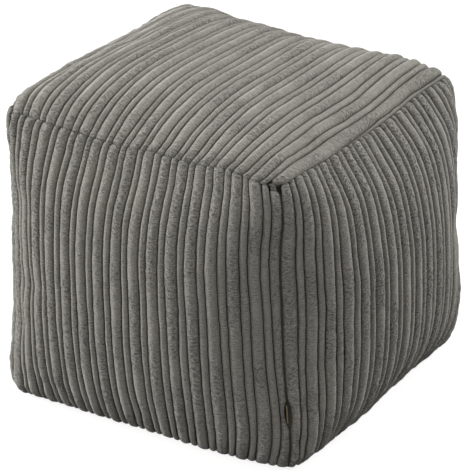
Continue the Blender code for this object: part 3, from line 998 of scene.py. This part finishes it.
def lay_wales(name, context):
    """Lay a panel's wales on the stuffed cover and join them into one piece."""
    sizes = context.scene.footstool_sizes
    rings = BASE_RINGS if name == "base" else RINGS
    seed = 10 * list(FACING).index(name)
    rows = wale_rows(CONTROL[name], rings - (len(TURNED_UNDER) if name in SIDES else 0))
    points, normal, across, along = cloth_reading(name, rows)
    full_width = across[:, -1]
    station = along[:, FINE_ACROSS // 2]
    floor_press = np.zeros(rings)
    if name in SIDES:
        floor_press = np.clip(1 - points[:, FINE_ACROSS // 2, 2] / PRESSED["height"], 0, 1)
    edges, wides, pairs = wale_edges(name, sizes)
    lines = groove_lines(name, edges, pairs, points, full_width, station, sizes, seed)
    templates = {wide: wale_template(wide, rings) for wide in (True, False)}
    made = []
    for number, (right, left, wide) in enumerate(zip(lines, lines[1:], wides)):
        middle = (left + right) / 2
        groove = sizes.groove * (1 - PRESSED["closed"] * floor_press)
        width = np.maximum(right - left - groove, THINNEST)
        run = np.array([np.interp(m, across[r], along[r]) for r, m in enumerate(middle)])
        end_spots = [[np.interp(middle[end], across[end], points[end, :, axis]) for axis in range(3)]
                     for end in (0, -1)]
        rng = np.random.default_rng(seed + 100 + number)
        shape = end_shape(name, wide, run, end_spots, sizes, rng)
        usual = sizes.wide_rise if wide else sizes.narrow_rise
        rise = usual * (1 + RISE_WAVES["share"] * waves(station, number, RISE_WAVES, seed))
        fullness = np.clip((width - THINNEST) / (LOWERED["under"] * sizes.pair), 0, 1)
        rise = rise * fullness ** LOWERED["power"]
        rise = rise * (1 - (1 - PRESSED["least"]) * floor_press)
        offset, height = section(wide, width * (END_WIDTH + (1 - END_WIDTH) * shape), rise * shape)
        beside_seam = name in SIDES and number in (0, len(wides) - 1)
        crush = crushing(wide, number, beside_seam, station, run, seed)
        lump_x = (middle[:, None] + offset) / LUMPS["across"]
        lump_y = np.broadcast_to(station[:, None] / WALES[wide]["lump"], lump_x.shape)
        lump = lattice_noise(lump_x, lump_y, seed + LUMPS["seed"])
        lumpy = LUMPS["calm"] + (1 - LUMPS["calm"]) * crush[:, None]
        relief = WALES[wide]["relief"] * lumpy * lump * shape[:, None]
        height[:, 2:-1] += relief[:, 2:-1]
        place = np.clip(middle[:, None] + offset, 0.0, full_width[:, None])
        spot = read_across(place, across, points)
        spot += height[..., None] * read_across(place, across, normal)
        spot[..., 2] = np.maximum(spot[..., 2], 0.0)
        tube, step, ring = templates[wide]
        wale = tube.copy()
        wale.data = tube.data.copy()
        context.scene.collection.objects.link(wale)
        set_places(wale.data, spot[ring, step])
        map_wale(wale.data, step, ring, number, len(wides), station, width)
        # the rise mark also paints shade into the pile's colour down in the grooves, and the crush mark
        # paints shade into the nicks
        mark_wale(wale.data, rise=(height / usual)[ring, step], crush=crush[ring])
        made.append(wale)
    for tube, _, _ in templates.values():
        bpy.data.objects.remove(tube)
    deselect()
    for wale in made:
        wale.select_set(True)
    context.view_layer.objects.active = made[0]
    bpy.ops.object.join()
    piece = context.object
    piece.name = piece.data.name = name + "_wales"
    bpy.ops.object.shade_smooth()
    return piece


SKIN = 1.7                   # the way over a wale's back and under it, in its widths
MAP_APART = 0.025            # from wale to wale on the cloth map
BAKE_MARGIN = (0.03, 0.01)   # round a wale's strip of the bake map, across and along


def map_wale(mesh, step, ring, number, count, station, width):
    """Give a wale its cloth map in metres and its strip of the bake map."""
    loop_vertex = np.empty(len(mesh.loops), np.int32)
    mesh.loops.foreach_get("vertex_index", loop_vertex)
    grid_map = np.empty(len(mesh.loops) * 2, np.float32)
    mesh.uv_layers[0].uv.foreach_get("vector", grid_map)
    turn = np.clip(grid_map.reshape(-1, 2)[:, 0], 0, 1)
    row = ring[loop_vertex]
    skin = width[row] * SKIN
    cloth = np.stack((number * MAP_APART + turn * skin, station[row]), axis=1)
    across, along = BAKE_MARGIN
    even = station[row] / station[-1]
    bake = np.stack(((number + across + (1 - 2 * across) * turn) / count,
                     along + (1 - 2 * along) * even), axis=1)
    mesh.uv_layers[0].name = "cloth"
    mesh.uv_layers["cloth"].uv.foreach_set("vector", cloth.astype(np.float32).ravel())
    mesh.uv_layers.new(name="OFBake", do_init=False)
    mesh.uv_layers["OFBake"].uv.foreach_set("vector", bake.astype(np.float32).ravel())


def mark_wale(mesh, **marks):
    """Give a wale its marks from 0 to 1, one value a point, which the pile's material reads."""
    for title, values in marks.items():
        mesh.attributes.new(title, "FLOAT", "POINT")
        mesh.attributes[title].data.foreach_set("value", np.clip(values, 0, 1).astype(np.float32))


def finish_wales(name, context):
    """Lay a panel's wales and give them their pile, which all the panels share."""
    piece = lay_wales(name, context)
    pile = bpy.data.materials.get("polyester corduroy pile")
    settle(piece, pile or pile_material(context.scene.footstool_colours), COVER_NODE)


class FOOTSTOOL_OT_side_wales(bpy.types.Operator):
    """Lay the upright wales of the four side panels"""

    bl_idname = "footstool.side_wales"
    bl_label = "Side wales"

    def execute(self, context):
        for name in SIDES:
            finish_wales(name, context)
        return {"FINISHED"}


class FOOTSTOOL_OT_lying_wales(bpy.types.Operator):
    """Lay the wales of the top and the base panel, from front to back"""

    bl_idname = "footstool.lying_wales"
    bl_label = "Top and base wales"

    def execute(self, context):
        for name in ("top", "base"):
            finish_wales(name, context)
        return {"FINISHED"}


# ------------------------------------------------------------------ the tab
TAB_SEAM = GAPES[0]["seam"]
TAB_PLACE = GAPES[0]["place"]
TAB_HEIGHT = 0.020
TAB_DEPTH = 0.0100           # from its sewn end to its fold
TAB_PROUD = 0.0022           # how far the fold stands out of the seam line
TAPE = 0.0006                # thickness of the tape
TAPE_GAP = 0.0002            # between the tab's two layers
TAB_TURN = math.radians(35)  # the tab leans over: its way out, from the front towards the right
TAB_CELLS = 24               # along each side of the tape, which is enough for a round fold


def tab_frame():
    """Place and turn of the tab: X out of the seam, Y across it, Z up it."""
    low, middle, high = (seam_spot(TAB_SEAM, TAB_PLACE + step) for step in (-0.02, 0, 0.02))
    up = Vector(high - low).normalized()
    out = direction(TAB_TURN, 0.0)
    out = (out - up * out.dot(up)).normalized()
    side = up.cross(out)
    turn = Matrix((out, side, up)).transposed().to_4x4()
    return Matrix.Translation(Vector(middle)) @ turn


class FOOTSTOOL_OT_tab(bpy.types.Operator):
    """Fold the blank tape tab that is sewn into the corner seam"""

    bl_idname = "footstool.tab"
    bl_label = "Seam tab"

    def execute(self, context):
        deselect()
        bpy.ops.mesh.primitive_plane_add(size=1.0)
        tab = context.object
        tab.name = tab.data.name = "tape_tab"
        bpy.ops.object.mode_set(mode="EDIT")
        bpy.ops.mesh.select_all(action="SELECT")
        bpy.ops.mesh.subdivide(number_cuts=TAB_CELLS - 1)
        bpy.ops.object.mode_set(mode="OBJECT")
        flat = places_of(tab.data)
        radius = (TAPE + TAPE_GAP) / 2
        straight = TAB_DEPTH - radius - TAPE / 2
        travel = (flat[:, 0] + 0.5) * (2 * straight + math.pi * radius)
        angle = np.clip((travel - straight) / radius, 0, math.pi)
        beyond = np.maximum(travel - straight - math.pi * radius, 0)
        out = np.where(travel < straight, travel, straight + radius * np.sin(angle)) - beyond
        inside = out - (TAB_DEPTH - TAB_PROUD)
        set_places(tab.data, np.stack((inside, -radius * np.cos(angle), flat[:, 1] * TAB_HEIGHT), axis=1))
        tab.data.transform(tab_frame())
        thick = tab.modifiers.new("tape", "SOLIDIFY")
        thick.thickness = TAPE
        thick.offset = 0.0
        only(tab)
        bpy.ops.object.modifier_apply(modifier=thick.name)
        bpy.ops.object.shade_smooth_by_angle(angle=math.radians(40))
        settle(tab, tape_material(context.scene.footstool_colours), LABEL_NODE)
        return {"FINISHED"}


# ------------------------------------------------------------------ the studio
AIM = (-0.0023, -0.0044, 0.171)      # the point that the photo's view turns about
AIM_SHIFT = (0.0046, 0.0079)         # from there to the middle of the picture, right and up
FLOOR_SIZE = 30.0
FLOOR_GLOW = 0.85            # the floor's own light, which keeps its shadows pale
BACKDROP_RADIUS = 14.0
# Every soft light's size, how far it is from the footstool, and the height it faces.
SOFTBOX = dict(size=1.2, distance=2.2, aim=0.2)
# Each soft light: its turn from the front towards the right and its height in degrees,
# and its power in watts.
LIGHTS = {
    "left softbox": (-62, 13, 45.0),
    "far left softbox": (-110, 14, 17.0),
    "back right softbox": (140, 30, 31.5),
    "front right softbox": (50, 25, 11.0),
    "front softbox": (0, 10, 8.5),
    "overhead softbox": (0, 88, 17.5),
}
AMBIENT = 0.02


def direction(turn, lift):
    """From the footstool: turned from the front towards the right, and lifted."""
    return Vector((math.sin(turn) * math.cos(lift), -math.cos(turn) * math.cos(lift), math.sin(lift)))


class FOOTSTOOL_OT_studio(bpy.types.Operator):
    """Set the pale floor, the backdrop, the soft lights and the camera"""

    bl_idname = "footstool.studio"
    bl_label = "Studio"

    def execute(self, context):
        scene = context.scene
        self.floor_and_backdrop(scene)
        for name, row in LIGHTS.items():
            self.softbox(scene, name, *row)
        world = bpy.data.worlds.new("studio air")
        world.use_nodes = True
        air = world.node_tree
        set_inputs(air, air.nodes["Background"], {"Strength": AMBIENT, "Color": (1, 1, 1, 1)})
        scene.world = world
        scene.view_settings.view_transform = "Standard"
        self.camera(scene)
        return {"FINISHED"}

    def floor_and_backdrop(self, scene):
        """A pale floor and a white dome, which light nothing else in the picture."""
        pale, tree, shader = new_material("pale studio floor")
        set_inputs(tree, shader, {
            "Base Color": scene.footstool_colours.floor, "Roughness": 0.9,
            "Emission Color": (1, 1, 1, 1), "Emission Strength": FLOOR_GLOW,
        })
        deselect()
        bpy.ops.mesh.primitive_plane_add(size=FLOOR_SIZE, location=(0, 0, 0))
        floor = bpy.context.object
        floor.name = "floor"
        floor.data.materials.append(pale)
        white, tree, shader = new_material("white backdrop")
        set_inputs(tree, shader, {
            "Base Color": (0, 0, 0, 1), "Emission Color": (1, 1, 1, 1), "Emission Strength": 1.0,
        })
        bpy.ops.mesh.primitive_uv_sphere_add(segments=32, ring_count=16, radius=BACKDROP_RADIUS)
        backdrop = bpy.context.object
        backdrop.name = "backdrop"
        backdrop.data.materials.append(white)
        backdrop.visible_shadow = False
        for thing in (floor, backdrop):
            thing.visible_diffuse = False
            thing.visible_glossy = False

    def softbox(self, scene, name, turn, lift, power):
        """A round soft light, facing the footstool."""
        light = bpy.data.lights.new(name, "AREA")
        light.shape = "DISK"
        light.size = SOFTBOX["size"]
        light.energy = power
        box = bpy.data.objects.new(name, light)
        away = direction(math.radians(turn), math.radians(lift))
        box.location = Vector((0, 0, SOFTBOX["aim"])) + away * SOFTBOX["distance"]
        box.rotation_euler = away.to_track_quat("Z", "Y").to_euler()
        scene.collection.objects.link(box)

    def camera(self, scene):
        """A long lens at the photo's viewing angle."""
        studio = scene.footstool_studio
        back = direction(studio.azimuth, studio.elevation)
        right = direction(studio.azimuth + math.pi / 2, 0.0)
        up = back.cross(right)
        aim = Vector(AIM) + right * AIM_SHIFT[0] + up * AIM_SHIFT[1]
        lens = bpy.data.cameras.new("camera")
        lens.sensor_width = 36.0
        lens.lens = studio.lens
        lens.clip_end = 60.0
        camera = bpy.data.objects.new("camera", lens)
        camera.location = aim + back * studio.distance
        camera.rotation_euler = back.to_track_quat("Z", "Y").to_euler()
        scene.collection.objects.link(camera)
        scene.camera = camera


# ------------------------------------------------------------------ the add-on
OPERATORS = (
    FOOTSTOOL_OT_cover,
    FOOTSTOOL_OT_side_wales,
    FOOTSTOOL_OT_lying_wales,
    FOOTSTOOL_OT_tab,
    FOOTSTOOL_OT_studio,
)
SETTINGS = {
    "footstool_sizes": FootstoolSizes,
    "footstool_colours": FootstoolColours,
    "footstool_studio": FootstoolStudio,
}


class FOOTSTOOL_PT_panel(bpy.types.Panel):
    """The footstool's settings and pieces"""

    bl_idname = "FOOTSTOOL_PT_panel"
    bl_label = "Footstool"
    bl_space_type = "VIEW_3D"
    bl_region_type = "UI"
    bl_category = "Footstool"

    def draw(self, context):
        for title, group in SETTINGS.items():
            box = self.layout.box()
            for key in group.__annotations__:
                box.prop(getattr(context.scene, title), key)
        for operator in OPERATORS:
            self.layout.operator(operator.bl_idname)


def register():
    for group in (*SETTINGS.values(), *OPERATORS, FOOTSTOOL_PT_panel):
        bpy.utils.register_class(group)
    for title, group in SETTINGS.items():
        setattr(bpy.types.Scene, title, bpy.props.PointerProperty(type=group))


def unregister():
    for title in SETTINGS:
        delattr(bpy.types.Scene, title)
    for group in reversed((*SETTINGS.values(), *OPERATORS, FOOTSTOOL_PT_panel)):
        bpy.utils.unregister_class(group)


def main():
    register()
    for operator in OPERATORS:
        family, name = operator.bl_idname.split(".")
        getattr(getattr(bpy.ops, family), name)()


if __name__ == "__main__":
    main()
